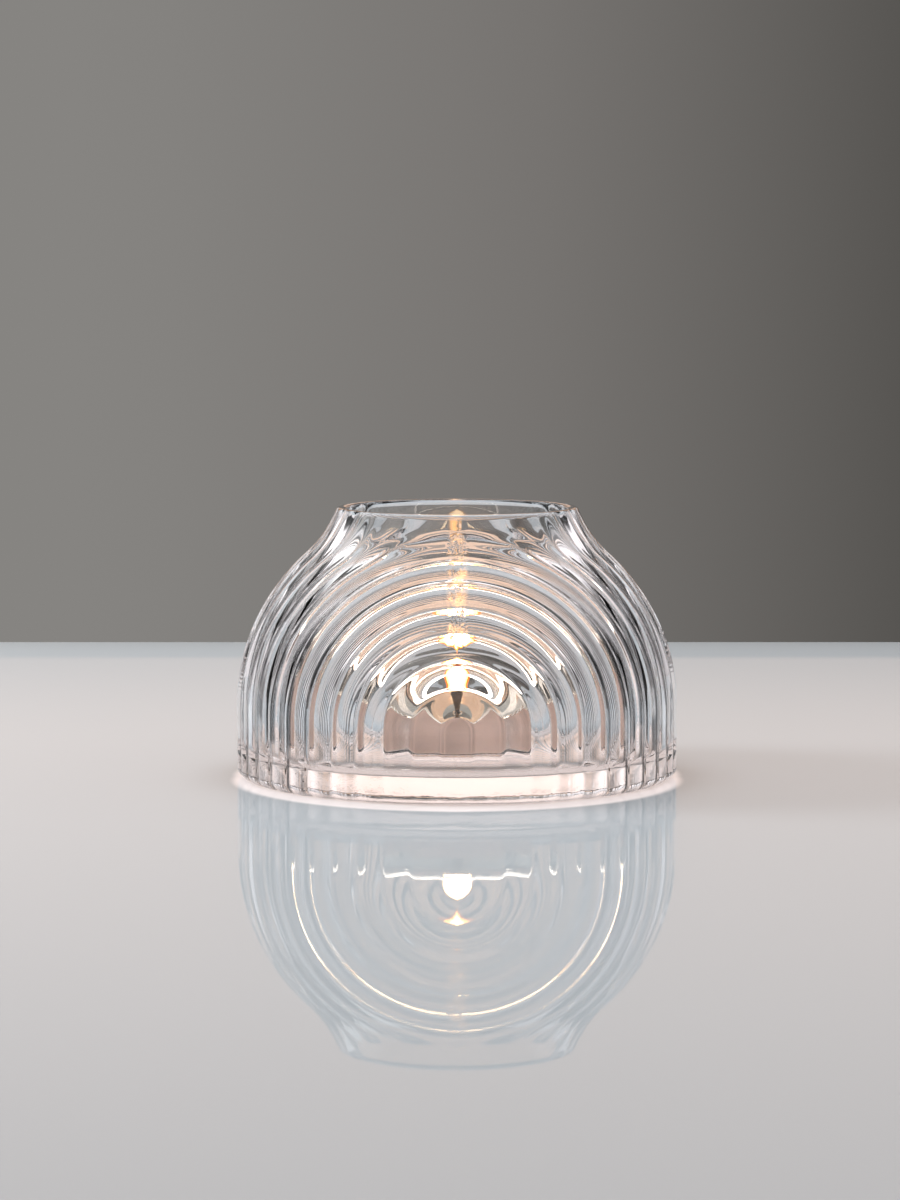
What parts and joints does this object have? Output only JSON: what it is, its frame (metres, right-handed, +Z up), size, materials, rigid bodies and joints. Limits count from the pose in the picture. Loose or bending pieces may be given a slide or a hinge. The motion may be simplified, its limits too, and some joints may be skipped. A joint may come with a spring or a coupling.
{
  "type": "glass tealight holder",
  "caption": "Clear glass bowl for a tealight, a dome reeded with nested arches on a round base, open at the top, with a lift-out tealight in a clear cup.",
  "frame": {"origin": "centre of the flat underside, on the surface that the holder stands on", "axes": "+Z up through the mouth; -Y is the front, where the smallest arch of the reeding shows; +X to the right seen from the front"},
  "size_m": [0.11, 0.11, 0.0672],
  "materials": {
    "clear_glass": "fire-polished, colourless",
    "clear_plastic": "clear moulded plastic, slightly clouded by the warm wax",
    "wax": "translucent paraffin wax, melted on top",
    "tinned_steel": "pressed tin plate",
    "wick_cotton": "braided cotton, charred at the tip"
  },
  "bodies": {
    "holder": {"glass_bowl": "clear_glass"},
    "tealight": {"tealight_cup": "clear_plastic", "wax": "wax", "wick_sustainer": "tinned_steel", "wick": "wick_cotton"}
  },
  "joints": [
    {"name": "tealight_lift", "type": "slide", "parent": "holder", "child": "tealight", "axis": [0, 0, 1], "range_m": [0, 0.065]}
  ]
}
